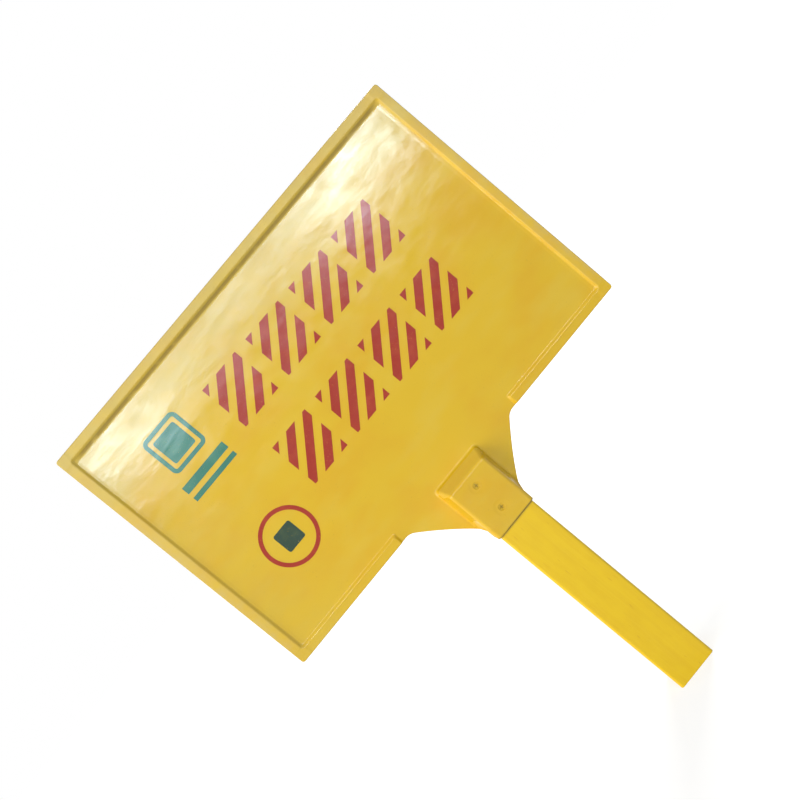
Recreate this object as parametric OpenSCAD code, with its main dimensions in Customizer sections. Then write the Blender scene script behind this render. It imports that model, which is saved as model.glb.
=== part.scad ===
// Warning marker post: a moulded glass-fibre sign board, with a socket and two webs under it,
// on a square glass-fibre tube. The socket slides over the tube's top end, and two sunk screws hold it.
// Frame: Z points up along the post, the printed face looks along -Y, and X is to its right.
// The origin is the centre of the post's foot. All sizes are in millimetres.

/* [Board] */
// Width of the board
board_w = 500; // [460:5:900]
// Height of the board
board_h = 320; // [290:5:600]
// Thickness of the board at its raised rim
rim_t = 10; // [8:0.5:14]
// Thickness of the recessed field and of the webs
field_t = 5; // [3:0.5:6.5]
// Width of the rim's flat top
rim_w = 10; // [6:0.5:16]
// Run of the sloping side between the rim and the field
rim_slope = 2.5; // [1:0.25:4]
// Radius of the board's outer corners
board_r = 3; // [1.5:0.5:8]
// Width of the bevel along the board's outer edges
edge_break = 1; // [0.4:0.1:1.4]
// Radius of the field's corners
field_r = 4; // [1:0.5:10]

/* [Webs] */
// Width across both webs at the board's bottom edge
web_w = 162; // [120:1:220]
// How far the webs run down below the board's bottom edge
web_drop = 57; // [40:1:64]
// Radius of the slight hollow along each web's free edge
web_hollow_r = 450; // [250:10:900]
// Radius of the fillet between a web's free edge and the board's bottom edge
web_fillet_r = 12; // [4:1:18]
// Distance from a web's corner to the end of the bottom rim
rim_end_gap = 10; // [8:1:20]

/* [Socket] */
// Thickness of the socket's walls
socket_wall = 3; // [2.5:0.1:5]
// How far the socket's mouth lies below the board's bottom edge
socket_drop = 71; // [67:1:110]
// How far the socket's roof starts above the board's bottom edge, at the field
roof_rise = 6.7; // [4:0.1:9]
// How far the roof falls from the field to the socket's front face
roof_fall = 10.3; // [6:0.1:11]
// How much wider the socket's middle is at the board's bottom edge than at the mouth, on each side
socket_taper = 0.9; // [0:0.1:2]
// How much narrower the socket's front face is than its middle at the mouth, on each side
socket_draft = 1; // [0:0.1:1.2]
// How far the sloping flanks beside the webs stand out from the socket's sides, at the middle
flank_out = 3.4; // [1:0.1:5]
// Radius of the socket's rounded edges
socket_edge_r = 4; // [2.5:0.1:4.5]
// Radius of the fillet between the socket's flanks and the webs
socket_foot_r = 3; // [1.5:0.5:6]

/* [Post] */
// Width of the square post
post_w = 50; // [40:1:60]
// Wall thickness of the post
post_wall = 5; // [3:0.5:6]
// Radius of the post's outer corners
post_r = 3; // [1:0.5:4]
// Radius of the post's inner corners
post_bore_r = 1; // [0.5:0.5:2]
// Length of post that shows below the socket
post_shown = 245; // [150:5:1500]
// How far the post's top end lies below the board's bottom edge, inside the socket
post_top_below = 7; // [6:0.5:10]
// Gap between the post and the socket on each side
post_clearance = 0.3; // [0.1:0.05:0.6]

/* [Fixings] */
// Height of the lower screw above the socket's mouth
screw_height = 20; // [12:0.5:24]
// Distance between the two screws
screw_pitch = 33.5; // [24:0.5:36]
// Diameter of a screw's shank
screw_d = 4; // [3:0.5:5]
// Diameter of a screw's countersunk head
screw_head_d = 7; // [6:0.1:8.5]
// Length of a screw under its head's rim
screw_l = 16; // [12:1:22]
// How deep a screw's head is sunk below the socket's face
screw_sink = 0.8; // [0.3:0.1:1]
// Gap between a screw and its holes, all round
screw_clearance = 0.05; // [0.05:0.05:0.2]
// Width of the slots in a screw's cross recess
recess_w = 0.9; // [0.6:0.1:1.2]
// Depth of a screw's cross recess
recess_depth = 1.2; // [0.8:0.1:1.6]

/* [Print] */
// Thickness of the printed films
print_t = 0.15; // [0.1:0.05:0.5]
// Width of a red mark
mark_w = 51; // [40:1:60]
// Height of a red mark
mark_h = 57; // [40:1:66]
// Distance between the centres of neighbouring marks in a row
mark_pitch = 67.5; // [62:0.5:70]
// Distance between the two rows of marks
row_pitch = 91; // [70:1:95]
// Width of the diagonal bars in a mark, square to the bar
bar_w = 9.5; // [6:0.5:12]
// Distance between the diagonal bars in a mark, along the mark's edge
bar_pitch = 25.5; // [18:0.5:30]
// Width of the green emblem
emblem_w = 48; // [44:1:56]
// Width of the emblem's frame
emblem_frame = 4.5; // [3:0.5:6]
// Width of the emblem's solid middle
emblem_core = 31; // [20:1:32]
// Width of the two green bars under the emblem
caption_w = 62; // [50:1:66]
// Height of the upper green bar
caption_top_h = 9; // [5:0.5:10]
// Height of the lower green bar
caption_low_h = 5.5; // [3:0.5:8]
// Outer diameter of the red ring
ring_d = 63.5; // [50:0.5:70]
// Width of the red ring's band
ring_band = 4.6; // [3:0.2:8]
// Width of the dark square in the ring
dark_w = 24; // [14:1:30]
// Radius of the round corners in the print
print_r = 2.5; // [1:0.5:4]
// Distance of the marks' middle to the right of the board's middle
marks_x = 24.8; // [10:0.1:40]
// Height of the marks' middle above the board's middle
marks_up = 21; // [5:0.5:30]
// Distance of the middle of the emblem, bars and ring from the board's left edge
side_column_x = 90; // [55:1:92]
// Height of the emblem's middle above the board's middle
emblem_up = 83; // [76:1:90]
// Height of the upper green bar's middle above the board's middle
caption_top_up = 43; // [40:1:48]
// Height of the lower green bar's middle above the board's middle
caption_low_up = 30; // [20:1:32]
// Depth of the ring's middle below the board's middle
ring_down = 66.5; // [50:0.5:80]

/* [Hidden] */
$fn = 96;
marks_in_row = 4;
// Share of a screw's head that its cross recess spans
recess_share = 0.62;
// Heights of the post's parts and of the board, counted from the foot
mouth_z = post_shown;
board_z = mouth_z + socket_drop;
post_length = board_z - post_top_below;
board_mid_z = board_z + board_h / 2;
screw_zs = [mouth_z + screw_height, mouth_z + screw_height + screw_pitch];
// The side column's middle, counted from the board's middle
side_mid_x = side_column_x - board_w / 2;
// Half thicknesses and the plane that each form starts from
half_rim = rim_t / 2;
half_field = field_t / 2;
rim_step = half_rim - half_field;
rim_band = rim_w + rim_slope;
// The socket's square section
socket_half = post_w / 2 + post_clearance + socket_wall;
cavity_w = post_w + 2 * post_clearance;
roof_run = socket_half - half_field;
roof_angle = atan2(roof_fall, roof_run);
front_half = socket_half - socket_draft;
web_end_z = board_z - web_drop;
// Centres of the rounds along the roof's ridge and along its front edge
round_y = socket_half - socket_edge_r;
ridge_z = board_z + roof_rise + half_field * tan(roof_angle) - socket_edge_r / cos(roof_angle);
edge_z = ridge_z - round_y * tan(roof_angle);
// The flanks' slope, seen from above
flank_angle = atan2(socket_half + socket_taper + flank_out - front_half, round_y);
// The foot fillet reaches into the socket's wall by this much
overlap = 1.5;
// Cutters run past the faces that they cut by this much
past = 1;
// Thickness of the slabs that a sloping cutter is stretched between
slab = 0.01;
// Sections of the rounded forms that are stretched between corners
corner_fn = 32;
// The web's free edge runs from the board's bottom edge to the socket's side
web_top = [web_w / 2, 0];
web_end = [socket_half, -web_drop];
web_chord = norm(web_top - web_end);
web_along = (web_end - web_top) / web_chord;
web_out = [-web_along[1], web_along[0]];
// Centre of the hollow, and of the fillet circle that touches it and the board's bottom edge
hollow_depth = sqrt(pow(web_hollow_r, 2) - pow(web_chord / 2, 2));
hollow_centre = (web_top + web_end) / 2 + web_out * hollow_depth;
fillet_side = sqrt(pow(web_hollow_r - web_fillet_r, 2) - pow(hollow_centre[1] + web_fillet_r, 2));
fillet_centre = [hollow_centre[0] - fillet_side, -web_fillet_r];
frp_yellow = [0.87, 0.70, 0.19];
post_yellow = [0.90, 0.74, 0.20];
print_red = [0.66, 0.18, 0.16];
print_green = [0.33, 0.60, 0.56];
print_dark = [0.14, 0.25, 0.20];

// A flat rectangle with round corners, centred on the origin
module rounded_rect(w, h, r) {
    square([w - 2 * r, h], center = true);
    square([w, h - 2 * r], center = true);
    for (sx = [-1, 1])
        for (sz = [-1, 1])
            translate([sx * (w / 2 - r), sz * (h / 2 - r)]) circle(r);
}

// Stands a flat outline upright, as a plate of thickness t about the middle plane
module upright(t) {
    rotate([90, 0, 0])
        linear_extrude(height = t, center = true)
            children();
}

// Stands a flat outline upright on the front side, from depth y towards the viewer
module upright_front(y, t) {
    translate([0, -y, 0])
        rotate([90, 0, 0])
            linear_extrude(height = t)
                children();
}

// The recess on one side: wider at the rim's top than at the field
module field_recess() {
    ratio = rim_slope / rim_step;
    translate([0, 0, board_mid_z])
        hull() {
            upright_front(half_field, slab)
                rounded_rect(board_w - 2 * rim_band, board_h - 2 * rim_band, field_r, $fn = corner_fn);
            upright_front(half_rim + past, slab)
                rounded_rect(board_w - 2 * rim_w + 2 * past * ratio, board_h - 2 * rim_w + 2 * past * ratio,
                    field_r + rim_slope + past * ratio, $fn = corner_fn);
        }
}

// The stretch over the webs where the bottom rim is left out on one side
module rim_gap() {
    ratio = rim_slope / rim_step;
    gap_w = web_w + 2 * rim_end_gap;
    low_z = board_z - past;
    high_z = board_z + rim_band + past;
    translate([0, 0, (low_z + high_z) / 2])
        hull() {
            upright_front(half_field, slab)
                square([gap_w, high_z - low_z], center = true);
            upright_front(half_rim + past, slab)
                square([gap_w + 2 * rim_slope + 2 * past * ratio, high_z - low_z], center = true);
        }
}

// The board: a plate with bevelled edges and a raised rim on both sides
module rimmed_plate() {
    difference() {
        translate([0, 0, board_mid_z])
            hull() {
                upright(rim_t - 2 * edge_break)
                    rounded_rect(board_w, board_h, board_r, $fn = corner_fn);
                upright(rim_t)
                    rounded_rect(board_w - 2 * edge_break, board_h - 2 * edge_break, board_r, $fn = corner_fn);
            }
        for (side = [0, 1])
            mirror([0, side, 0]) {
                field_recess();
                rim_gap();
            }
    }
}

// One web's outline from the board's middle line outwards, with its hollow free edge and its corner fillet
module half_web() {
    touch_way = (fillet_centre - hollow_centre) / norm(fillet_centre - hollow_centre);
    touch = hollow_centre + touch_way * web_hollow_r;
    difference() {
        polygon([[0, rim_band], web_top + [0, rim_band], web_top, web_end, [0, -web_drop]]);
        translate(hollow_centre) circle(web_hollow_r, $fn = 720);
    }
    difference() {
        polygon([touch + past * touch_way, web_top + [-past, past], [fillet_centre[0], past],
            fillet_centre, touch]);
        translate(fillet_centre) circle(web_fillet_r);
    }
}

// Both webs' outline, counted from the board's bottom edge
module web_outline() {
    half_web();
    mirror([1, 0]) half_web();
}

// Both webs, as thick as the field and flush with it
module webs() {
    translate([0, 0, board_z])
        upright(field_t)
            web_outline();
}

// Half width of the socket at its middle plane, at height z
function socket_half_at(z) = socket_half + socket_taper * (z - mouth_z) / (board_z - mouth_z);

// The socket's outer form on both sides of the board, with rounded edges and a roof like a gable.
// It starts at height low_z, and its middle stands out by flare on each side
module socket_form(low_z, flare) {
    r = socket_edge_r;
    hull()
        for (sx = [-1, 1]) {
            for (sy = [-1, 1]) {
                translate([sx * (front_half - r), sy * round_y, edge_z])
                    sphere(r, $fn = corner_fn);
                translate([sx * (front_half - r), sy * round_y, low_z])
                    cylinder(r = r, h = slab, $fn = corner_fn);
            }
            translate([sx * (socket_half_at(ridge_z) + flare - r), 0, ridge_z])
                sphere(r, $fn = corner_fn);
            translate([sx * (socket_half_at(low_z) + flare - r), 0, low_z])
                cylinder(r = r, h = slab, $fn = corner_fn);
        }
}

// The sloping flanks between the socket's sides and the webs, cut off along the webs' free edges
module flanks() {
    intersection() {
        socket_form(web_end_z, flank_out);
        translate([0, 0, board_z])
            upright(2 * socket_half)
                web_outline();
    }
}

// The fillet that runs up one corner between a flank and a web, kept within the web's outline
module socket_foot() {
    lean = atan2(socket_taper, board_z - mouth_z);
    base_x = socket_half_at(web_end_z) + flank_out - half_field * tan(flank_angle);
    // The fillet's circle touches the flank this far from the web, and its centre stands this far out
    touch = socket_foot_r * (1 - sin(flank_angle));
    reach = overlap + touch / cos(flank_angle);
    intersection() {
        translate([base_x - overlap, -half_field, web_end_z])
            rotate([0, lean, 0])
                mirror([0, 1, 0])
                    linear_extrude(height = ridge_z - web_end_z)
                        difference() {
                            translate([0, -overlap]) square([reach, overlap + touch]);
                            translate([reach, socket_foot_r]) circle(socket_foot_r);
                        }
        translate([0, 0, board_z])
            upright(2 * socket_half)
                web_outline();
    }
}

// The square space for the post, closed at its top end
module socket_cavity() {
    translate([0, 0, mouth_z - past])
        linear_extrude(height = post_length - mouth_z + past)
            rounded_rect(cavity_w, cavity_w, post_r);
}

// A hole for one screw, sunk into the socket's front face
module screw_hole() {
    r = screw_d / 2 + screw_clearance;
    head_r = screw_head_d / 2 + screw_clearance;
    face = -socket_half;
    // Past the face
    translate([0, face - past, 0])
        rotate([-90, 0, 0]) cylinder(r = head_r, h = past + screw_sink);
    translate([0, face + screw_sink, 0])
        rotate([-90, 0, 0]) cylinder(r1 = head_r, r2 = r, h = head_r - r);
    translate([0, face + screw_sink, 0])
        rotate([-90, 0, 0]) cylinder(r = r, h = screw_l);
}

// The moulding: board, webs and socket in one piece
module sign_board() {
    color(frp_yellow)
        difference() {
            union() {
                rimmed_plate();
                webs();
                socket_form(mouth_z, 0);
                flanks();
                for (sx = [0, 1])
                    for (sy = [0, 1])
                        mirror([sx, 0, 0]) mirror([0, sy, 0]) socket_foot();
            }
            socket_cavity();
            for (z = screw_zs)
                translate([0, 0, z]) screw_hole();
        }
}

// The square tube, open at its foot, with two screw holes in its front wall
module post() {
    bore_w = post_w - 2 * post_wall;
    color(post_yellow)
        difference() {
            linear_extrude(height = post_length)
                difference() {
                    rounded_rect(post_w, post_w, post_r);
                    rounded_rect(bore_w, bore_w, post_bore_r);
                }
            for (z = screw_zs)
                translate([0, -post_w / 2 - past, z])
                    rotate([-90, 0, 0])
                        cylinder(r = screw_d / 2 + screw_clearance, h = post_wall + 2 * past);
        }
}

// One countersunk screw along +Y, with its head's top at the origin
module screw() {
    r = screw_d / 2;
    head_r = screw_head_d / 2;
    tip = r;
    rotate([-90, 0, 0])
        difference() {
            union() {
                cylinder(r1 = head_r, r2 = r, h = head_r - r);
                cylinder(r = r, h = screw_l - tip);
                translate([0, 0, screw_l - tip]) cylinder(r1 = r, r2 = r / 3, h = tip);
            }
            for (turn = [0, 90])
                rotate([0, 0, turn])
                    cube([recess_share * screw_head_d, recess_w, 2 * recess_depth], center = true);
        }
}

// The two screws in the socket's front wall
module fixing_screws() {
    color(frp_yellow)
        for (z = screw_zs)
            translate([0, screw_sink - socket_half, z]) screw();
}

// Lays a printed film on the front field, about the board's middle
module film() {
    translate([0, 0, board_mid_z])
        upright_front(half_field, print_t)
            children();
}

// A red mark: a square of diagonal bars
module hatched_mark() {
    reach = ceil((mark_w + mark_h) / 2 / bar_pitch);
    intersection() {
        square([mark_w, mark_h], center = true);
        for (i = [-reach:reach])
            translate([i * bar_pitch, 0])
                rotate(45)
                    square([2 * (mark_w + mark_h), bar_w], center = true);
    }
}

// Two rows of red marks, and the ring at the lower left
module red_print() {
    color(print_red)
        film() {
            for (row = [-0.5, 0.5])
                for (i = [0:marks_in_row - 1])
                    translate([marks_x + (i - (marks_in_row - 1) / 2) * mark_pitch, marks_up + row * row_pitch])
                        hatched_mark();
            translate([side_mid_x, -ring_down])
                difference() {
                    circle(d = ring_d);
                    circle(d = ring_d - 2 * ring_band);
                }
        }
}

// The green emblem, a square in a square frame, and the two bars under it
module green_print() {
    color(print_green)
        film() {
            translate([side_mid_x, emblem_up]) {
                difference() {
                    rounded_rect(emblem_w, emblem_w, print_r + emblem_frame);
                    rounded_rect(emblem_w - 2 * emblem_frame, emblem_w - 2 * emblem_frame, print_r);
                }
                rounded_rect(emblem_core, emblem_core, print_r);
            }
            translate([side_mid_x, caption_top_up]) square([caption_w, caption_top_h], center = true);
            translate([side_mid_x, caption_low_up]) square([caption_w, caption_low_h], center = true);
        }
}

// The dark square inside the ring
module dark_print() {
    color(print_dark)
        film()
            translate([side_mid_x, -ring_down])
                rounded_rect(dark_w, dark_w, print_r);
}

sign_board();
post();
fixing_screws();
red_print();
green_print();
dark_print();
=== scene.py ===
import math

import bmesh
import bpy
from mathutils import Matrix, Vector


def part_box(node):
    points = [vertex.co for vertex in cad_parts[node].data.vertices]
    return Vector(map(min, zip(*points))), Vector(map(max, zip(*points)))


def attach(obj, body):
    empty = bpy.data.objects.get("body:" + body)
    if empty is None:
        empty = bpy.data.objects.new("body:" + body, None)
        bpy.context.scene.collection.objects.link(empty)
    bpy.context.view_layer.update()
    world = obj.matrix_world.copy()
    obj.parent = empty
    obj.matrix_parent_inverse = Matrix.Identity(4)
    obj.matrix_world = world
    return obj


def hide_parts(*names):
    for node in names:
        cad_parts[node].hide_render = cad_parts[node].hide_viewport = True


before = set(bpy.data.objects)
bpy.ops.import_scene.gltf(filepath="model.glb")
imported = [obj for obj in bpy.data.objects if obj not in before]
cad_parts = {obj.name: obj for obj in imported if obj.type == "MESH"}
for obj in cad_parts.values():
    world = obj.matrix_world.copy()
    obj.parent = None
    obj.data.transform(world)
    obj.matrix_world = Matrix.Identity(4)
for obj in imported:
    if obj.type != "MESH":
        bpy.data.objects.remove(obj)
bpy.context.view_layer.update()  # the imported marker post: everything below is in its frame, in metres
scene = bpy.context.scene
tiny = 1e-5  # how close two places are to count as one
cornerSteps = 6  # steps of a square tube's or hole's round corners
ringSteps = 48  # and of a drilled hole
print("frame loaded:", ", ".join(sorted(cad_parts)))


def newPiece(name, bm, material, replaced, sharpAngle):  # a bmesh becomes a piece of the part
    bmesh.ops.recalc_face_normals(bm, faces=bm.faces)
    openEdges = sum(1 for e in bm.edges if not e.is_manifold)
    print(name, "has", len(bm.faces), "faces and", openEdges, "open edges")
    mesh = bpy.data.meshes.new(name)
    bm.to_mesh(mesh)
    bm.free()
    mesh.shade_smooth()
    mesh.set_sharp_from_angle(angle=math.radians(sharpAngle))
    mesh.materials.append(material)
    piece = bpy.data.objects.new(name, mesh)
    scene.collection.objects.link(piece)
    flat = piece.modifiers.new("flat faces stay flat", "WEIGHTED_NORMAL")
    flat.keep_sharp = True
    flat.weight = 100
    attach(piece, "root")
    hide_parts(*replaced)


def same(a, b):
    return abs(a - b) < tiny


def rounded(bm, edges, width, segments):  # a convex edge gets a round, a concave one a fillet
    bmesh.ops.bevel(bm, geom=edges, offset=width, offset_type="OFFSET", segments=segments, profile=0.5,
                    affect="EDGES", material=-1, clamp_overlap=False)


def roundCorners(bm, corners, reach, segments):  # corners of a flat sheet
    return bmesh.ops.bevel(bm, geom=corners, offset=reach, offset_type="OFFSET", segments=segments, profile=0.5,
                           affect="VERTICES", material=-1, clamp_overlap=False)


def vertsOf(parts):
    return [part for part in parts if isinstance(part, bmesh.types.BMVert)]


def creased(edge, degrees):
    return len(edge.link_faces) == 2 and edge.calc_face_angle() > math.radians(degrees)


def squareLoop(bm, half, reach, z):  # the edges of a level square with round corners
    level = Matrix.Translation((0, 0, z))
    square = bmesh.ops.create_grid(bm, x_segments=1, y_segments=1, size=half, matrix=level)
    corners = roundCorners(bm, square["verts"], reach, cornerSteps)
    face = corners["verts"][0].link_faces[0]
    edges = list(face.edges)
    bmesh.ops.delete(bm, geom=[face], context="FACES_ONLY")
    return edges


def extendEdges(bm, edges):  # a band of new faces along the edges: its far edges and vertices
    grown = bmesh.ops.extrude_edge_only(bm, edges=edges)["geom"]
    verts = vertsOf(grown)
    return [g for g in grown if isinstance(g, bmesh.types.BMEdge) and all(v in verts for v in g.verts)], verts


def drillFront(bm, frontY, backY, profile, heights):  # round holes through a flat front wall, ring by ring
    loops = []
    for y in (frontY, backY):
        face = max((f for f in bm.faces if all(same(v.co.y, y) for v in f.verts)), key=lambda f: f.calc_area())
        loops.append(list(face.edges))
        bmesh.ops.delete(bm, geom=[face], context="FACES_ONLY")
    for z in heights:
        middle = Matrix.Translation((0, frontY, z))
        ring = bmesh.ops.create_circle(bm, segments=ringSteps, radius=profile[0][0],
                                       matrix=middle @ Matrix.Rotation(math.pi / 2, 4, "X"))["verts"]
        edges = list({e for v in ring for e in v.link_edges})
        loops[0] += edges
        for (lastRadius, lastDepth), (radius, depth) in zip(profile, profile[1:]):
            edges, ring = extendEdges(bm, edges)
            change = radius / lastRadius
            bmesh.ops.scale(bm, vec=(change, 1, change), space=middle.inverted(), verts=ring)
            bmesh.ops.translate(bm, vec=(0, depth - lastDepth, 0), verts=ring)
        loops[1] += edges
    for edges in loops:
        bmesh.ops.triangle_fill(bm, use_beauty=True, edges=edges)


def quarter(steps):  # the angles of a quarter round, from 0 to 90 degrees
    return [math.pi / 2 * step / steps for step in range(steps + 1)]


class Wire:  # an output socket to reckon with: a sum or a product of wires adds a Math node
    def __init__(self, tree, socket):
        self.tree = tree
        self.socket = socket

    def node(self, kind, settings, values, output=0):
        made = self.tree.nodes.new("ShaderNode" + kind)
        for name, value in settings.items():
            setattr(made, name, value)
        for key, value in values.items():
            if isinstance(value, Wire):
                self.tree.links.new(value.socket, made.inputs[key])
            else:
                made.inputs[key].default_value = value
        return Wire(self.tree, made.outputs[output])

    def math(self, operation, *values):
        return self.node("Math", {"operation": operation}, dict(enumerate(values)))

    def __add__(self, other):
        return self.math("ADD", self, other)

    def __radd__(self, other):
        return self.math("ADD", other, self)

    def __sub__(self, other):
        return self.math("SUBTRACT", self, other)

    def __rsub__(self, other):
        return self.math("SUBTRACT", other, self)

    def __mul__(self, other):
        return self.math("MULTIPLY", self, other)

    def __rmul__(self, other):
        return self.math("MULTIPLY", other, self)

    def __abs__(self):
        return self.math("ABSOLUTE", self)

    def larger(self, other):
        return self.math("MAXIMUM", self, other)

    def away(self, other):  # length of the slanted side over two others
        return self.math("SQRT", self * self + other * other)

    def axis(self, name):
        return self.node("SeparateXYZ", {}, {0: self}, "XYZ".index(name))

    def step(self, low, high):  # 0 up to low, 1 from high on, smooth between the two
        return self.node("MapRange", {"interpolation_type": "SMOOTHSTEP"},
                         {"Value": self, "From Min": low, "From Max": high})

    def near(self, middle, full, none):  # 1 up to this far from the middle, 0 from the second distance on
        return 1 - abs(self - middle).step(full, none)

    def noise(self, size, detail, stretch=(1, 1, 1), shift=(0, 0, 0)):  # soft blobs of about this size, 0 to 1
        scaled = self.node("VectorMath", {"operation": "MULTIPLY_ADD"},
                           {0: self, 1: [1 / (size * s) for s in stretch], 2: shift})
        return self.node("TexNoise", {}, {"Vector": scaled, "Scale": 1.0, "Detail": detail})

    def patches(self, low, high, share=1, **look):  # noise cut to patches, which reach up to the share
        return self.noise(**look).step(low, high) * share

    def relief(self, layers):  # the height in metres of several layers of noise
        height = 0
        for high, look in layers:
            height = height + self.noise(**look) * high
        return height

    def blend(self, low, high):  # one colour where this wire is 0, the other where it is 1
        return self.node("Mix", {"data_type": "RGBA"}, {0: self, 6: low, 7: high}, 2)

    def into(self, shader, name):
        self.tree.links.new(self.socket, shader.inputs[name])

    def bumpInto(self, shader):  # this wire is the surface's height in metres
        self.node("Bump", {}, {"Strength": 1.0, "Distance": 1.0, "Height": self}).into(shader, "Normal")


def newMaterial(name, constants):
    material = bpy.data.materials.new(name)
    material.use_nodes = True
    tree = material.node_tree
    shader = tree.nodes["Principled BSDF"]
    for key, value in constants.items():
        shader.inputs[key].default_value = value
    return material, shader, Wire(tree, tree.nodes.new("ShaderNodeTexCoord").outputs["Object"])


# the moulding: board, webs and socket
boardLow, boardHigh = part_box("sign_board")
board = {
    "rimHalf": 0.005,          # half the board's thickness at its rim
    "fieldHalf": 0.0025,       # and at the field and the webs
    "rimWidth": 0.010,
    "slopeRun": 0.0025,        # run of the slope between rim and field
    "cornerReach": 0.003,      # round of the outer corners
    "innerReach": 0.0025,      # round of the field's corners
    "endReach": 0.0015,        # round of the rim's ends beside the webs
    "edgeWidth": 0.0009,       # round of all edges along rim, field and webs
    "edgeAngle": 28,           # an edge this sharp in degrees is rounded
    "socketDrop": 0.071,       # from the board's bottom edge down to the socket's mouth
    "webHalf": 0.081,
    "webDrop": 0.057,
    "webHollow": 0.450,        # radius of the hollow free edge
    "webFillet": 0.012,
    "webCuts": 11,
    "rimEndGap": 0.010,
    "roofRise": 0.0067,
    "roofFall": 0.0103,
    "socketTaper": 0.0009,
    "socketDraft": 0.001,
    "flankOut": 0.0034,        # the flanks beside the webs stand out by this much at the middle
    "socketRound": 0.004,
    "footRound": 0.003,        # fillet between socket and field
    "roundSteps": 5,           # of the socket's rounds and fillets
    "cornerSteps": 5,
    "filletSteps": 6,
    "edgeSteps": 3,
    "mouthSteps": 4,
    "wall": 0.003,
    "cavityTop": 0.007,        # the post's top end lies this far below the board's bottom edge
    "cavityRound": 0.003,
    "mouthRound": 0.0012,      # round of the mouth's outer edge
    "mouthWidth": 0.0004,      # and of its inner edge
    "mouthAngle": 60,
    "screwPlaces": (0.020, 0.0535),  # heights of the screws above the mouth
    "screwSink": 0.0008,
    "headHole": 0.00355,       # radius of the countersunk holes at the head
    "shankHole": 0.00205,
    "holeLip": 0.00025,
}
boardHalf, boardTop = boardHigh.x, boardHigh.z
mouthZ, socketHalf = boardLow.z, boardHigh.y
boardZ = mouthZ + board["socketDrop"]
roofZ = boardZ + board["roofRise"]
webEndZ = boardZ - board["webDrop"]
fieldHalf, rimHalf = board["fieldHalf"], board["rimHalf"]
bandWidth = board["rimWidth"] + board["slopeRun"]
gapHalf = board["webHalf"] + board["rimEndGap"]
socketDepth = socketHalf - fieldHalf  # from the field to the socket's front face
frontHalf = socketHalf - board["socketDraft"]
cavityHalf = socketHalf - board["wall"]
screwHeights = [mouthZ + place for place in board["screwPlaces"]]


def leanAt(z, flank):  # how far the socket's side comes in for each metre forwards
    middle = socketHalf + board["socketTaper"] * (z - mouthZ) / (boardZ - mouthZ) + flank
    return (middle - frontHalf) / (socketHalf - board["socketRound"])


def footHalf(z, flank):  # half width of the socket on the field, so that its front edge keeps its place
    lean, edge = leanAt(z, flank), board["socketRound"]
    return frontHalf - edge + (socketDepth - edge) * lean + edge * math.hypot(1, lean)


webEnd = Vector((footHalf(webEndZ, 0), webEndZ))
webTop = Vector((board["webHalf"], boardZ))
webMiddle = (webEnd + webTop) / 2
webAlong = (webTop - webEnd).normalized()
webTurn = math.acos(webAlong.x)  # the web's free edge rises at this angle


def onWebEdge(place):  # the nearest place on the web's hollow free edge
    radius, along = board["webHollow"], (place - webMiddle).dot(webAlong)
    sunk = math.sqrt(radius ** 2 - along ** 2) - math.sqrt(radius ** 2 - (webTop - webEnd).length_squared / 4)
    return webMiddle + webAlong * along + Vector((-webAlong.y, webAlong.x)) * sunk


flankOut = board["flankOut"]
flankLean, sideLean = leanAt(boardZ, flankOut), leanAt(webEndZ, 0)
footEnd = onWebEdge(webEnd + webAlong * (flankOut + board["footRound"]) / webAlong.x)
slide = (footEnd - webEnd) / (footEnd.x - webEnd.x)  # up the web's free edge, for each metre outwards
flankFoot = webEnd + slide * (footHalf(footEnd.y, flankOut) - webEnd.x)


def outlineSheet(bm):  # one flat sheet: the foot of the socket, and the rest of the board round it
    mouth = Vector((footHalf(mouthZ, 0), mouthZ))
    footTop = Vector((footHalf(roofZ, flankOut) + board["footRound"], roofZ + board["footRound"]))
    low, high = Vector((boardHalf, boardZ)), Vector((boardHalf, boardTop))
    half = [mouth, webEnd, footEnd, footTop, webTop, low, high]  # the fillet runs out at footEnd
    right = [bm.verts.new((p.x, -fieldHalf, p.y)) for p in half]
    left = [bm.verts.new((-p.x, -fieldHalf, p.y)) for p in half]
    bm.faces.new(right[:4] + left[3::-1])
    bm.faces.new([right[2], *right[4:], *left[:3:-1], left[2], left[3], right[3]])
    webEdges = [bm.edges.get((right[2], right[4])), bm.edges.get((left[2], left[4]))]
    cut = bmesh.ops.bisect_edges(bm, edges=webEdges, cuts=board["webCuts"])["geom_split"]
    for v in vertsOf(cut):
        place = onWebEdge(Vector((abs(v.co.x), v.co.z)))
        v.co.x, v.co.z = math.copysign(place.x, v.co.x), place.y

    def roundAt(place, reach, segments):
        pair = [v for v in bm.verts if same(abs(v.co.x), place.x) and same(v.co.z, place.y)]
        roundCorners(bm, pair, reach, segments)

    roundAt(low, board["cornerReach"], board["cornerSteps"])
    roundAt(high, board["cornerReach"], board["cornerSteps"])
    roundAt(webTop, board["webFillet"] * math.tan(webTurn / 2), board["filletSteps"])
    roundAt(footTop, board["socketRound"] + board["footRound"], board["filletSteps"])


def cutSheet(bm, point, normal, wanted):  # a straight cut through some faces of the sheet
    faces = [f for f in bm.faces if wanted(f)]
    parts = {part for f in faces for part in [f, *f.edges, *f.verts]}
    bmesh.ops.bisect_plane(bm, geom=list(parts), plane_co=point, plane_no=normal, dist=tiny / 10)


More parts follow.
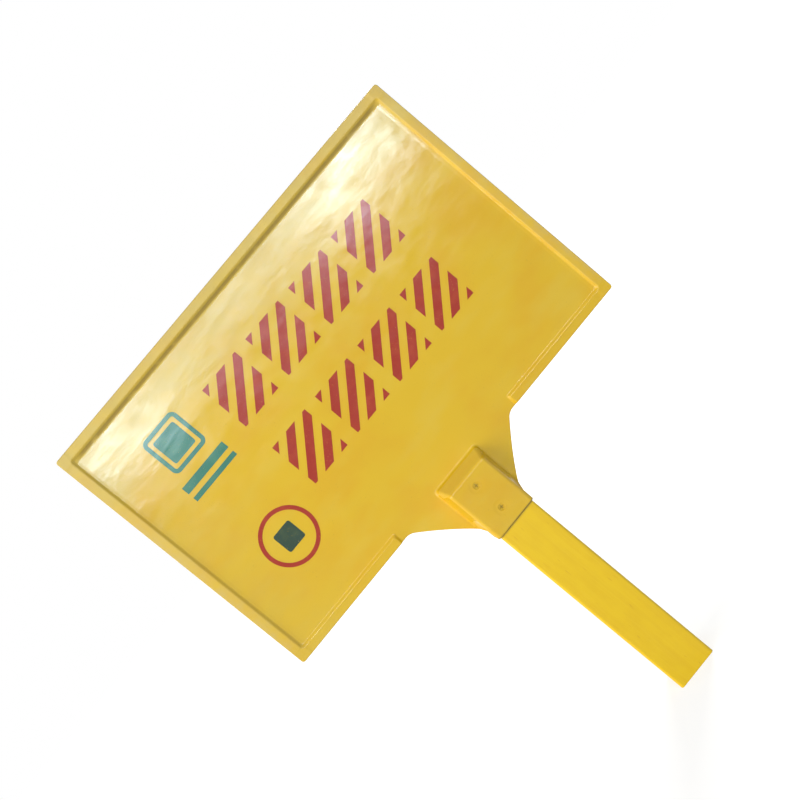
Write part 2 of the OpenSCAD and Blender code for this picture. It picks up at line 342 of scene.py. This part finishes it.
def cutRimLines(bm):
    def aboveFoot(face):
        return max(v.co.z for v in face.verts) > roofZ + 2 * board["footRound"]

    def aboveRimEnd(face):
        return max(v.co.z for v in face.verts) - boardZ - bandWidth

    for side in (-1, 1):
        cutSheet(bm, (side * (boardHalf - bandWidth), 0, 0), (1, 0, 0), aboveFoot)
    cutSheet(bm, (0, 0, boardTop - bandWidth), (0, 0, 1), aboveFoot)
    cutSheet(bm, (0, 0, boardZ + bandWidth), (0, 0, 1), aboveFoot)
    for side in (-1, 1):
        cutSheet(bm, (side * gapHalf, 0, 0), (1, 0, 0), lambda f: same(aboveRimEnd(f), 0))


def inBand(face):  # the strip along the edge that carries the raised rim, left out over the webs
    middle = face.calc_center_bounds()
    overWebs = abs(middle.x) < gapHalf and middle.z < boardZ + bandWidth
    inside = abs(middle.x) < boardHalf - bandWidth and boardZ + bandWidth < middle.z < boardTop - bandWidth
    flat = abs(face.normal.y) > 0.9
    return flat and not overWebs and not inside


def raiseRim(bm, side):
    slope = board["slopeRun"]
    faces = [f for f in bm.faces if same(f.calc_center_median().y, side * fieldHalf) and inBand(f)]
    raised = vertsOf(bmesh.ops.extrude_face_region(bm, geom=faces)["geom"])
    bmesh.ops.delete(bm, geom=faces, context="FACES")
    for v in raised:
        x, z = abs(v.co.x), v.co.z
        outward = math.copysign(slope, v.co.x)
        v.co.y = side * rimHalf
        if same(x, boardHalf - bandWidth) and boardZ + bandWidth - tiny < z < boardTop - bandWidth + tiny:
            v.co.x += outward
        if same(z, boardTop - bandWidth) and x < boardHalf - bandWidth + tiny:
            v.co.z += slope
        if same(z, boardZ + bandWidth) and x < boardHalf - bandWidth + tiny:
            v.co.z -= slope
        if same(x, gapHalf):
            v.co.x += outward


def softenRim(bm):
    def slanted(edge):
        return min(abs(c) for c in edge.verts[0].co - edge.verts[1].co) > board["slopeRun"] / 2

    def onFront(edge):
        return all(abs(v.co.y) > fieldHalf - tiny for v in edge.verts)

    def aboveWebEnd(edge):
        heights = [v.co.z for v in edge.verts]
        return min(heights) > webEndZ - tiny and max(heights) > webEndZ + tiny

    corners = [e for e in bm.edges if slanted(e) and abs(e.verts[0].co.x) > boardHalf - 2 * bandWidth]
    rounded(bm, corners, board["innerReach"], board["filletSteps"])
    ends = [e for e in bm.edges if slanted(e) and abs(e.verts[0].co.x) < gapHalf + 2 * board["slopeRun"]]
    rounded(bm, ends, board["endReach"], board["edgeSteps"])
    bm.normal_update()
    edges = [e for e in bm.edges if creased(e, board["edgeAngle"]) and onFront(e) and aboveWebEnd(e)]
    rounded(bm, edges, board["edgeWidth"], board["edgeSteps"])
    for v in bm.verts:  # the rounds of the webs' free edges run out at the foot of the socket
        for place in (webEnd, footEnd):
            end = Vector((math.copysign(place.x, v.co.x), math.copysign(fieldHalf, v.co.y), place.y))
            if (v.co - end).length < 2 * board["edgeWidth"]:
                v.co = end
    bmesh.ops.remove_doubles(bm, verts=bm.verts, dist=tiny)


def raiseSocket(bm, side):  # the socket grows ring by ring: fillet, leaning walls, round front edges
    fillet, edge, steps = board["footRound"], board["socketRound"], board["roundSteps"]
    centre = Vector((footHalf(roofZ, flankOut) - edge, roofZ - edge))
    fall = board["roofFall"] / socketDepth
    face = next(f for f in bm.faces if same(f.calc_center_median().y, side * fieldHalf)
                and any(same(v.co.z, mouthZ) for v in f.verts))
    # every ring takes these along: a place at the wall's foot, the way out, the wall's lean, and its angle
    foot, outward, lean = [bm.verts.layers.float_vector.new(name) for name in ("foot", "outward", "lean")]
    tilt = bm.verts.layers.float.new("tilt")

    def note(v, place, way, shift, slope):
        mirrored = math.copysign(1, v.co.x)
        v[foot] = (place.x * mirrored, 0, place.y)
        v[outward] = (way.x * mirrored, 0, way.y)
        v[lean] = (shift.x * mirrored, 0, shift.y)
        v[tilt] = math.atan(slope)

    def put(v, out, deep):
        spot = v[foot] + v[outward] * out + v[lean] * deep
        v.co = (spot.x, side * (fieldHalf + deep), spot.z)

    nowhere = Vector((0, 0))
    for v in face.verts:
        x, z = abs(v.co.x), v.co.z
        if x > centre.x and z > centre.y - tiny or z > roofZ - tiny:
            corner = centre if x > centre.x else Vector((x, centre.y))
            away = (Vector((x, z)) - corner).normalized()
            shift = Vector((-flankLean, -fall))
            note(v, corner + away * edge, away, shift, -shift.dot(away))
        elif z > webEndZ + tiny:  # the flank's lower end slides up the web's free edge
            note(v, flankFoot, slide, slide * -flankLean, flankLean)
        elif z > webEndZ - tiny:
            note(v, webEnd, nowhere, slide * -sideLean, sideLean)
        else:
            note(v, Vector((x, z)), nowhere, Vector((-sideLean, 0)), sideLean)
    for turn in quarter(steps):
        if turn:
            face = bmesh.ops.extrude_discrete_faces(bm, faces=[face])["faces"][0]
        for v in face.verts:
            swing = turn * (1 - v[tilt] / (math.pi / 2))
            out = fillet / math.cos(v[tilt]) * (1 - math.sin(swing + v[tilt]))
            put(v, out, fillet * (1 - math.cos(swing)))
    inwards = Vector((1, 0))
    for v in face.verts:  # the flank's end has met the socket's side where the front edge's round begins
        if v[foot].z < flankFoot.y + tiny:
            atMouth = same(v[foot].z, mouthZ)
            end = Vector((abs(v[foot].x), mouthZ)) if atMouth else webEnd
            note(v, end, inwards, (inwards if atMouth else slide) * -sideLean, sideLean)
    for turn in quarter(steps):
        face = bmesh.ops.extrude_discrete_faces(bm, faces=[face])["faces"][0]
        for v in face.verts:
            swing = v[tilt] + turn * (1 - v[tilt] / (math.pi / 2))
            out = edge / math.cos(v[tilt]) * (math.cos(swing - v[tilt]) - 1)
            put(v, out, socketDepth - edge * (1 - math.sin(swing)))
    for layer in (foot, outward, lean):
        bm.verts.layers.float_vector.remove(layer)
    bm.verts.layers.float.remove(tilt)


def openMouth(bm):  # the square space for the post, open at the mouth
    def inMouth(part):
        return all(same(v.co.z, mouthZ) for v in part.verts)

    def outside(edge):  # on the socket's outer side, and not on the cavity's
        return max(abs(c) for v in edge.verts for c in v.co.xy) > cavityHalf + board["wall"] / 2

    bmesh.ops.delete(bm, geom=[f for f in bm.faces if inMouth(f)], context="FACES")
    outer = [e for e in bm.edges if e.is_boundary]
    inner = squareLoop(bm, cavityHalf, board["cavityRound"], mouthZ)
    bmesh.ops.bridge_loops(bm, edges=outer + inner)
    end, verts = extendEdges(bm, inner)
    bmesh.ops.translate(bm, verts=verts, vec=(0, 0, boardZ - board["cavityTop"] - mouthZ))
    bmesh.ops.contextual_create(bm, geom=end)
    bmesh.ops.recalc_face_normals(bm, faces=bm.faces)
    for width, wanted in ((board["mouthWidth"], False), (board["mouthRound"], True)):
        edges = [e for e in bm.edges if inMouth(e) and creased(e, board["mouthAngle"]) and outside(e) == wanted]
        rounded(bm, edges, width, board["mouthSteps"])


def drillBoard(bm):  # the countersunk holes, with a small round at the face
    head, shank, lip = board["headHole"], board["shankHole"], board["holeLip"]
    turns = quarter(board["edgeSteps"])
    profile = [(head + lip * (1 - math.sin(turn)), lip * (1 - math.cos(turn))) for turn in turns]
    profile += [(head, board["screwSink"]), (shank, board["screwSink"] + head - shank), (shank, board["wall"])]
    drillFront(bm, -socketHalf, -cavityHalf, profile, screwHeights)


def buildBoard():
    bm = bmesh.new()
    outlineSheet(bm)
    cutRimLines(bm)
    back = bmesh.ops.extrude_face_region(bm, geom=list(bm.faces))["geom"]
    bmesh.ops.translate(bm, verts=vertsOf(back), vec=(0, 2 * fieldHalf, 0))
    bmesh.ops.recalc_face_normals(bm, faces=bm.faces)
    for side in (-1, 1):
        raiseRim(bm, side)
    softenRim(bm)
    for side in (-1, 1):
        raiseSocket(bm, side)
    bmesh.ops.remove_doubles(bm, verts=bm.verts, dist=tiny)
    openMouth(bm)
    drillBoard(bm)
    return bm


gelcoat = {
    "colour": (0.69, 0.428, 0.010, 1),
    "warm": (0.68, 0.392, 0.008, 1),
    "warmPatches": {"size": 0.055, "detail": 3, "stretch": (1.5, 1, 1), "low": 0.42, "high": 0.66},
    "pale": (0.69, 0.452, 0.030, 1),
    "palePatches": {"size": 0.0385, "detail": 3, "stretch": (2.2, 1, 1), "shift": (7, 3, 5),
                    "low": 0.45, "high": 0.72, "share": 0.8},
    # painted reflection: along the top and down the left the base colour is turned less red and bluer, standing
    # in for the glare there
    "paintedGlare": (0.55, 0.40, 0.07, 1),
    "paintedGlareTop": 0.75, "paintedGlareTopStart": 0.105, "paintedGlareTopFull": 0.020,  # both measured down from the top
    "paintedGlareLeft": 0.35, "paintedGlareLeftEnd": -0.1125,
    "paintedGlareMost": 0.85,
    "paintedGlareLeast": 0.55,
    "paintedGlareClouds": {"size": 0.018, "detail": 4, "stretch": (1.5, 1, 1), "shift": (1, 9, 4),
                     "low": 0.25, "high": 0.70, "share": 0.45},
    # worn and matt on the rim's flats, where it is handled, and most along their outer edges
    "worn": (0.56, 0.41, 0.15, 1),
    "wear": 0.5, "wornRoughness": 0.18,
    "rimFull": 0.0002, "rimNone": 0.0008,        # a face this near the rim's own plane is its flat
    "wearStart": 0.008, "wearFull": 0.020,       # both measured up from the bottom edge
    "wearInside": 0.007, "wearOutside": 0.002,   # both measured in from the outer edge
    "wearLeast": 0.6,
    "wearPatches": {"size": 0.009, "detail": 5, "low": 0.15, "high": 0.85},
    # dust on the socket's roof
    "dust": (0.66, 0.50, 0.12, 1),
    "dustLeast": 0.25, "dustSpan": 0.15, "dustRoughness": 0.5,
    "dustClouds": {"size": 0.006, "detail": 3},
    "dustOutStart": 0.0055, "dustOutFull": 0.0080,        # both measured from the board's middle plane
    "dustEdgeNone": 0.0003, "dustEdgeFull": 0.0010,       # below and above the roof's front edge
    # darker along the outer edges, painted shade along the foot of the top and left rim walls and round the
    # mouth, and dirt in specks
    "grimeAndShade": (0.30, 0.19, 0.02, 1),
    "grimeAndShadeClouds": {"size": 0.02, "detail": 3, "low": 0.1, "high": 0.5},
    "edgeDarkening": 0.5, "edgeDarkeningWidth": 0.0014,
    "topShade": 0.95, "topShadeDown": 0.0136, "topShadeFull": 0.0008, "topShadeNone": 0.0028,
    "topShadeEndFull": 0.222, "topShadeEndNone": 0.240,
    "sideShade": 0.095, "sideShadeIn": 0.0118, "sideShadeFull": 0.0005, "sideShadeNone": 0.0020,
    "mouthShade": 0.95, "mouthShadeFull": 0.0006, "mouthShadeNone": 0.0022,
    "specks": {"size": 0.0011, "detail": 1, "low": 0.70, "high": 0.76, "share": 0.35},
    "speckedPlaces": {"size": 0.04, "detail": 1, "shift": (3, 1, 2), "low": 0.45, "high": 0.60},
    "roughness": 0.18, "roughSpan": 0.22, "roughMiddle": 0.75,
    "roughClouds": {"size": 0.020, "detail": 4, "stretch": (1.3, 1, 1)},
    "roughStreaks": {"size": 0.006, "detail": 3, "stretch": (6, 1, 1)}, "streakShare": 0.5,
    # much rougher on the board's sawn edges, and on the socket's sides near the mouth
    "mattRoughness": 0.75, "sawnFade": 0.0006, "mattSideWidth": 0.0035,
    "mattSideFull": 0.002, "mattSideNone": 0.020,         # both measured up from the webs' ends
    "relief": [
        (0.0007, {"size": 0.085, "detail": 1.5}),                           # long waves left by the mould
        (0.00022, {"size": 0.022, "detail": 1, "stretch": (1.4, 1, 1)}),    # ripples
        (0.00009, {"size": 0.008, "detail": 1, "stretch": (1.8, 1, 1)}),    # dimples
        (0.000012, {"size": 0.0065, "detail": 1}),                          # orange peel
        (0.0000022, {"size": 0.0011, "detail": 1, "stretch": (14, 1, 1)}),  # fibres that lie both ways
        (0.0000022, {"size": 0.0011, "detail": 1, "stretch": (1, 1, 14)}),
    ],
    "poolWidth": 0.005, "poolHeight": 0.0008,    # it pooled along the foot of the rim
    "dishFull": 0.0055, "dishNone": 0.0095, "dishDepth": 0.00018,  # the wall is drawn in round the screws
}


def gelcoatRoughness(place):
    streaks = place.noise(**gelcoat["roughStreaks"]) * gelcoat["streakShare"]
    uneven = place.noise(**gelcoat["roughClouds"]) + streaks - gelcoat["roughMiddle"]
    return gelcoat["roughness"] + uneven * gelcoat["roughSpan"]


# painted reflection: how much of the glare's colour is painted along the top and down the left
def paintedGlareShare(place):
    x, z = place.axis("X"), place.axis("Z")
    start, full = boardTop - gelcoat["paintedGlareTopStart"], boardTop - gelcoat["paintedGlareTopFull"]
    left = (1 - x.step(-boardHalf, gelcoat["paintedGlareLeftEnd"])) * gelcoat["paintedGlareLeft"]
    both = z.step(start, full) * gelcoat["paintedGlareTop"] + left
    clouds = gelcoat["paintedGlareLeast"] + place.patches(**gelcoat["paintedGlareClouds"])
    return both.math("MINIMUM", both, gelcoat["paintedGlareMost"]) * clouds


def rimShare(place):  # 1 on the rim's flats
    start, full = boardZ + gelcoat["wearStart"], boardZ + gelcoat["wearFull"]
    onFlat = abs(place.axis("Y")).near(rimHalf, gelcoat["rimFull"], gelcoat["rimNone"])
    return onFlat * place.axis("Z").step(start, full)


def beyondEdge(place):  # 0 at the board's sides and top, and less inside them
    return (abs(place.axis("X")) - boardHalf).larger(place.axis("Z") - boardTop)


def wornShare(place):
    outwards = beyondEdge(place).step(-gelcoat["wearInside"], -gelcoat["wearOutside"])
    return place.patches(**gelcoat["wearPatches"]) * gelcoat["wearLeast"] * (1 + outwards)


def dustShare(place):
    frontEdge = roofZ - board["roofFall"]
    out = abs(place.axis("Y")).step(gelcoat["dustOutStart"], gelcoat["dustOutFull"])
    up = place.axis("Z").step(frontEdge - gelcoat["dustEdgeNone"], frontEdge + gelcoat["dustEdgeFull"])
    return out * up * (gelcoat["dustLeast"] + place.noise(**gelcoat["dustClouds"]) * gelcoat["dustSpan"])


# darker outer edges, painted shade and dirt, in one mask
def grimeAndShadeShare(place):
    x, y, z = [place.axis(name) for name in "XYZ"]
    # darker along the board's outer edges
    edge = beyondEdge(place).step(-gelcoat["edgeDarkeningWidth"], 0) * gelcoat["edgeDarkening"]
    # painted shade along the foot of the top rim wall, fading out towards both ends
    top = z.near(boardTop - gelcoat["topShadeDown"], gelcoat["topShadeFull"], gelcoat["topShadeNone"])
    top = top * (1 - abs(x).step(gelcoat["topShadeEndFull"], gelcoat["topShadeEndNone"])) * gelcoat["topShade"]
    # painted shade, fainter, along the foot of the left rim wall
    side = x.near(gelcoat["sideShadeIn"] - boardHalf, gelcoat["sideShadeFull"], gelcoat["sideShadeNone"])
    inField = y.math("LESS_THAN", abs(y), rimHalf - 10 * tiny)
    foot = (top + side * gelcoat["sideShade"]) * inField
    # painted shade round the socket's mouth
    mouth = 1 - z.step(mouthZ + gelcoat["mouthShadeFull"], mouthZ + gelcoat["mouthShadeNone"])
    specks = place.patches(**gelcoat["specks"]) * place.patches(**gelcoat["speckedPlaces"])
    return (edge + foot + mouth * gelcoat["mouthShade"] + specks) * place.patches(**gelcoat["grimeAndShadeClouds"])


def mattShare(place):
    x, y, z = [place.axis(name) for name in "XYZ"]
    sawn = 1 - abs(y).step(fieldHalf - gelcoat["sawnFade"], fieldHalf)
    side = abs(x).step(cavityHalf, cavityHalf + gelcoat["mattSideWidth"])
    low = 1 - z.step(webEndZ + gelcoat["mattSideFull"], webEndZ + gelcoat["mattSideNone"])
    return sawn.larger(side * low)


def poolAndDishes(place):
    x, y, z = [place.axis(name) for name in "XYZ"]
    pool = 0
    for along, foot in ((abs(x), boardHalf - bandWidth), (z, boardTop - bandWidth)):
        inside = along.math("MINIMUM", along, foot)
        pool = pool + inside.step(foot - gelcoat["poolWidth"], foot + gelcoat["poolWidth"])
    dish = 0
    for height in screwHeights:
        dish = dish + (1 - x.away(z - height).step(gelcoat["dishFull"], gelcoat["dishNone"]))
    dish = dish * y.math("LESS_THAN", y, -cavityHalf)
    return pool * gelcoat["poolHeight"] - dish * gelcoat["dishDepth"]


def makeGelcoat():
    material, shader, place = newMaterial("gelcoat", {"IOR": 1.45})
    rim, dust = rimShare(place), dustShare(place)
    worn = rim * wornShare(place)
    colour = place.patches(**gelcoat["warmPatches"]).blend(gelcoat["colour"], gelcoat["warm"])
    colour = place.patches(**gelcoat["palePatches"]).blend(colour, gelcoat["pale"])
    # the painted reflection along the top and the left
    colour = paintedGlareShare(place).blend(colour, gelcoat["paintedGlare"])
    colour = (worn * gelcoat["wear"]).blend(colour, gelcoat["worn"])
    colour = dust.blend(colour, gelcoat["dust"])
    # darker edges, painted shade and dirt in one colour
    grimeAndShadeShare(place).blend(colour, gelcoat["grimeAndShade"]).into(shader, "Base Color")
    rough = gelcoatRoughness(place) + (worn + rim) * gelcoat["wornRoughness"] + dust * gelcoat["dustRoughness"]
    (rough + mattShare(place) * gelcoat["mattRoughness"]).into(shader, "Roughness")
    (place.relief(gelcoat["relief"]) + poolAndDishes(place)).bumpInto(shader)
    return material


newPiece("board_moulding", buildBoard(), makeGelcoat(), ["sign_board"], sharpAngle=50)
print("board done")


# the post: a square tube
post = {
    "half": 0.025,
    "round": 0.003,
    "boreHalf": 0.020,
    "boreRound": 0.001,
    "endWidth": 0.0004,        # round of the cut ends' edges
    "endAngle": 60,            # an edge this sharp in degrees is rounded
    "endSteps": 3,
    "holeRadius": 0.00205,
}
postTop = boardZ - board["cavityTop"]


def buildPost():
    bm = bmesh.new()
    outer = squareLoop(bm, post["half"], post["round"], 0)
    inner = squareLoop(bm, post["boreHalf"], post["boreRound"], 0)
    end = bmesh.ops.bridge_loops(bm, edges=outer + inner)["faces"]
    drawn = bmesh.ops.extrude_face_region(bm, geom=end)["geom"]
    bmesh.ops.translate(bm, verts=vertsOf(drawn), vec=(0, 0, postTop))
    bmesh.ops.recalc_face_normals(bm, faces=bm.faces)
    sharp = [e for e in bm.edges if creased(e, post["endAngle"]) and same(e.verts[0].co.z, e.verts[1].co.z)]
    rounded(bm, sharp, post["endWidth"], post["endSteps"])
    hole, wall = post["holeRadius"], post["half"] - post["boreHalf"]
    drillFront(bm, -post["half"], -post["boreHalf"], [(hole, 0), (hole, wall)], screwHeights)
    return bm


tube = {
    "colour": (0.80, 0.512, 0.006, 1),
    "deep": (0.77, 0.478, 0.005, 1), "deepLow": 0.35, "deepHigh": 0.62,
    "clouds": {"size": 0.012, "detail": 4, "stretch": (1, 1, 1.6), "shift": (3, 3, 3)},
    "light": (0.82, 0.540, 0.016, 1), "lightLow": 0.45, "lightHigh": 0.75, "lightShare": 0.4,
    "strands": {"size": 0.0016, "detail": 2, "stretch": (1, 1, 30)},  # the long strands show through the skin
    "strandHeight": 0.000007,
    "bundles": {"size": 0.008, "detail": 2, "stretch": (1, 1, 14), "shift": (2, 5, 1)},
    "stain": (0.62, 0.30, 0.01, 1),
    "stains": {"size": 0.0018, "detail": 1, "stretch": (1, 1, 7), "shift": (4, 4, 9),
               "low": 0.68, "high": 0.80, "share": 0.5},
    "cut": (0.62, 0.48, 0.16, 1),                # the sawn ends, where the grain of the glass shows
    "grains": {"size": 0.0007, "detail": 2, "low": 0.3, "high": 0.7},
    "grainHeight": 0.00004, "cutRoughness": 0.4, "cutHeight": 0.0003,
    "bore": (0.55, 0.36, 0.05, 1), "boreRoughness": 0.15,
    "mouthShade": 0.75, "mouthShadeFull": 0.0006, "mouthShadeNone": 0.0024,  # both measured down from the mouth
    "roughness": 0.34, "roughSpan": 0.12,
    "relief": [
        (0.000004, {"size": 0.0028, "detail": 2, "stretch": (1, 1, 2)}),  # the veil over the strands
        (0.00012, {"size": 0.045, "detail": 1, "stretch": (1, 1, 4)}),    # long waves
    ],
}


def makeTube():
    material, shader, place = newMaterial("pultruded tube", {"IOR": 1.5})
    x, y, z = [place.axis(name) for name in "XYZ"]
    out = abs(x).larger(abs(y))
    within = out.math("LESS_THAN", out, post["boreHalf"] + 10 * tiny)  # 1 in the bore
    cutEnd = z.math("LESS_THAN", z, tube["cutHeight"])
    strands, bundles = place.noise(**tube["strands"]), place.noise(**tube["bundles"])
    even = (bundles * 0.5 + place.noise(**tube["clouds"]) * 0.5).step(tube["deepLow"], tube["deepHigh"])
    colour = even.blend(tube["deep"], tube["colour"])
    lit = strands.step(tube["lightLow"], tube["lightHigh"]) * tube["lightShare"]
    colour = lit.blend(colour, tube["light"])
    colour = place.patches(**tube["stains"]).blend(colour, tube["stain"])
    colour = within.blend(colour, tube["bore"])
    # painted shade on the post just under the mouth
    underMouth = z.step(mouthZ - tube["mouthShadeNone"], mouthZ - tube["mouthShadeFull"]) * (1 - within)
    colour = (underMouth * tube["mouthShade"]).blend(colour, gelcoat["grimeAndShade"])
    grains = place.patches(**tube["grains"])
    cutEnd.blend(colour, grains.blend(tube["cut"], tube["bore"])).into(shader, "Base Color")
    rough = tube["roughness"] + (bundles + strands - 1) * tube["roughSpan"]
    (rough + cutEnd * tube["cutRoughness"] + within * tube["boreRoughness"]).into(shader, "Roughness")
    height = place.relief(tube["relief"]) + strands * tube["strandHeight"]
    (height + grains * cutEnd * tube["grainHeight"]).bumpInto(shader)
    return material


newPiece("tube_post", buildPost(), makeTube(), ["post"], sharpAngle=50)
print("post done")


# the two screws: the CAD solids with their edges worn round, painted with the board
screws = {
    "flatAngle": 0.5,          # faces that meet at less than this in degrees are joined
    "edgeAngle": 40,           # and edges sharper than this are rounded
    "edgeWidth": 0.0001,
    "edgeSteps": 2,
    "recessFloor": 0.0012,     # depth of the cross recess
    "colour": (0.60, 0.37, 0.006, 1), "grimeAndShade": (0.09, 0.055, 0.02, 1),
    "recessShade": 0.45, "chipLow": 0.60, "chipHigh": 0.75, "chipGrime": 0.25,
    "roughness": 0.34, "roughSpan": 0.2, "grimeAndShadeRoughness": 0.2,
    "paint": {"size": 0.0012, "detail": 2}, "paintHeight": 0.00003,
}


def buildScrews():
    bm = bmesh.new()
    bm.from_mesh(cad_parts["fixing_screws"].data)
    bmesh.ops.remove_doubles(bm, verts=bm.verts, dist=tiny / 10)
    bmesh.ops.dissolve_limit(bm, angle_limit=math.radians(screws["flatAngle"]), verts=bm.verts, edges=bm.edges)
    sharp = [e for e in bm.edges if creased(e, screws["edgeAngle"])]
    rounded(bm, sharp, screws["edgeWidth"], screws["edgeSteps"])
    return bm


def makeScrewPaint():
    material, shader, place = newMaterial("screw paint", {"IOR": 1.5})
    depth = place.axis("Y") + (socketHalf - board["screwSink"])
    paint = place.noise(**screws["paint"])
    # painted shade down in the cross recess
    recess = depth.step(10 * tiny, screws["recessFloor"]) * screws["recessShade"]
    grimeAndShade = recess + paint.step(screws["chipLow"], screws["chipHigh"]) * screws["chipGrime"]
    grimeAndShade.blend(screws["colour"], screws["grimeAndShade"]).into(shader, "Base Color")
    rough = screws["roughness"] + (paint - 0.5) * screws["roughSpan"]
    (rough + grimeAndShade * screws["grimeAndShadeRoughness"]).into(shader, "Roughness")
    (paint * screws["paintHeight"]).bumpInto(shader)
    return material


newPiece("sunk_screws", buildScrews(), makeScrewPaint(), ["fixing_screws"], sharpAngle=30)
print("screws done")


# the print: the CAD films, as thin ink over the gelcoat's waves
inks = {
    "red_print": {"colour": (0.345, 0.020, 0.004, 1), "thin": (0.42, 0.05, 0.006, 1)},
    "green_print": {"colour": (0.030, 0.175, 0.120, 1), "thin": (0.07, 0.23, 0.12, 1)},
    "dark_print": {"colour": (0.020, 0.050, 0.028, 1), "thin": (0.05, 0.08, 0.03, 1)},
}
inkLayer = {
    "thinPatches": {"size": 0.012, "detail": 3, "low": 0.45, "high": 0.75, "share": 0.5},
    "pinholes": {"size": 0.0009, "detail": 1, "low": 0.71, "high": 0.75},
    "holedPlaces": {"size": 0.02, "detail": 2, "shift": (5, 2, 8), "low": 0.4, "high": 0.6},
    "roughness": 0.02,         # more than the gelcoat's
}


def makeInk(name, ink):
    material, shader, place = newMaterial(name + " ink", {"IOR": 1.45})
    colour = place.patches(**inkLayer["thinPatches"]).blend(ink["colour"], ink["thin"])
    holes = place.patches(**inkLayer["pinholes"]) * place.patches(**inkLayer["holedPlaces"])
    holes.blend(colour, gelcoat["colour"]).into(shader, "Base Color")
    (gelcoatRoughness(place) + inkLayer["roughness"]).into(shader, "Roughness")
    place.relief(gelcoat["relief"]).bumpInto(shader)
    return material


for name, ink in inks.items():
    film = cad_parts[name]
    film.data.materials.clear()
    film.data.materials.append(makeInk(name, ink))
print("print done")


# the floor: white in the picture, and it still takes the post's shadow
floorLook = {
    "size": 40,
    "glow": 0.67,              # less than white near the post, so that its shadow shows
    "farGlow": 1.0, "farStart": 0.6, "farFull": 1.4,
    "colour": (0.34, 0.34, 0.34, 1), "light": (0.36, 0.36, 0.36, 1),
    "clouds": {"size": 0.03, "detail": 2},
}


def seenDirectly(tree):  # 1 for rays from the camera, a mirror or a lens
    path = tree.nodes.new("ShaderNodeLightPath")
    camera, glossy, through = [Wire(tree, path.outputs[name]) for name in
                               ("Is Camera Ray", "Is Glossy Ray", "Is Transmission Ray")]
    return camera.larger(glossy).larger(through)


def makeFloor():
    bm = bmesh.new()
    bmesh.ops.create_grid(bm, x_segments=1, y_segments=1, size=floorLook["size"] / 2)
    mesh = bpy.data.meshes.new("floor")
    bm.to_mesh(mesh)
    bm.free()
    floor = bpy.data.objects.new("floor", mesh)
    scene.collection.objects.link(floor)
    constants = {"Emission Color": (1, 1, 1, 1), "Specular IOR Level": 0.0}
    material, shader, place = newMaterial("floor paint", constants)
    clouds = place.noise(**floorLook["clouds"])
    clouds.blend(floorLook["colour"], floorLook["light"]).into(shader, "Base Color")
    far = place.axis("X").away(place.axis("Y")).step(floorLook["farStart"], floorLook["farFull"])
    glow = floorLook["glow"] + far * (floorLook["farGlow"] - floorLook["glow"])
    (seenDirectly(place.tree) * glow).into(shader, "Emission Strength")
    material.cycles.emission_sampling = "NONE"
    mesh.materials.append(material)


makeFloor()
print("floor done")


def turnedTo(place, aim):  # the matrix of a camera or lamp in this place that looks at the aim
    turn = (Vector(aim) - Vector(place)).to_track_quat("-Z", "Y")
    return Matrix.Translation(place) @ turn.to_matrix().to_4x4()


# camera: where the photograph was taken from, turned on its axis as the photograph is
view = {"place": (-0.0240, -1.0223, 0.4733), "aim": (0.0184, 0, 0.4108), "roll": -50.3, "lens": 45,
        "clipStart": 0.01}
camera = bpy.data.objects.new("camera", bpy.data.cameras.new("camera"))
scene.collection.objects.link(camera)
scene.camera = camera
camera.data.lens = view["lens"]
camera.data.clip_start = view["clipStart"]
camera.matrix_world = turnedTo(view["place"], view["aim"]) @ Matrix.Rotation(math.radians(view["roll"]), 4, "Z")


# lamps: a wide soft key from the left, a fill from above the camera, panels whose reflections are the glare
# along the board's top, and two for the back
lamps = {
    "key": {"place": (-2.26, -2.11, 1.24), "aim": (0, 0, 0.35), "size": (1.7, 2.2), "power": 51,
            "colour": (1, 0.96, 0.92)},
    "side": {"place": (-1.97, -0.24, 0.64), "aim": (0, 0, 0.35), "size": (0.6, 0.9), "power": 20,
             "colour": (1, 0.96, 0.92)},
    "fill": {"place": (0.20, -2.0, 1.60), "aim": (0, 0, 0.4), "size": (0.9, 0.5), "power": 5,
             "colour": (1, 0.97, 0.93)},
    "glareRight": {"place": (0.55, -2.0, 0.86), "aim": (0, 0, 0.6), "size": (0.40, 0.20), "power": 6.2,
                   "colour": (0.72, 0.88, 1)},
    "glareLeft": {"place": (-0.58, -2.0, 0.90), "aim": (0, 0, 0.6), "size": (0.36, 0.22), "power": 5.3,
                  "colour": (0.72, 0.88, 1)},
    "glareBand": {"place": (0, -2.0, 0.89), "aim": (0, 0, 0.6), "size": (1.3, 0.16), "power": 8.9,
                  "colour": (0.76, 0.90, 1)},
    "back": {"place": (0.9, 1.6, 1.6), "aim": (0, 0, 0.4), "size": (0.8, 0.8), "power": 34,
             "colour": (1, 1, 1)},
    "backLow": {"place": (-1.3, 1.2, 0.5), "aim": (0, 0, 0.35), "size": (0.8, 0.8), "power": 8,
                "colour": (1, 1, 1)},
}
for name, lamp in lamps.items():
    light = bpy.data.lights.new(name, "AREA")
    light.shape = "RECTANGLE"
    light.size, light.size_y = lamp["size"]
    light.energy = lamp["power"]
    light.color = lamp["colour"]
    holder = bpy.data.objects.new(name, light)
    scene.collection.objects.link(holder)
    holder.matrix_world = turnedTo(lamp["place"], lamp["aim"])
    holder.visible_camera = False
print("lamps done")


# world: white where it is seen, dim where it lights the part
sky = {"seen": 1.0, "lit": 0.25}
world = bpy.data.worlds.new("white room")
scene.world = world
world.use_nodes = True
background = world.node_tree.nodes["Background"]
background.inputs["Color"].default_value = (1, 1, 1, 1)
strength = sky["lit"] + seenDirectly(world.node_tree) * (sky["seen"] - sky["lit"])
strength.into(background, "Strength")

scene.view_settings.view_transform = "Standard"
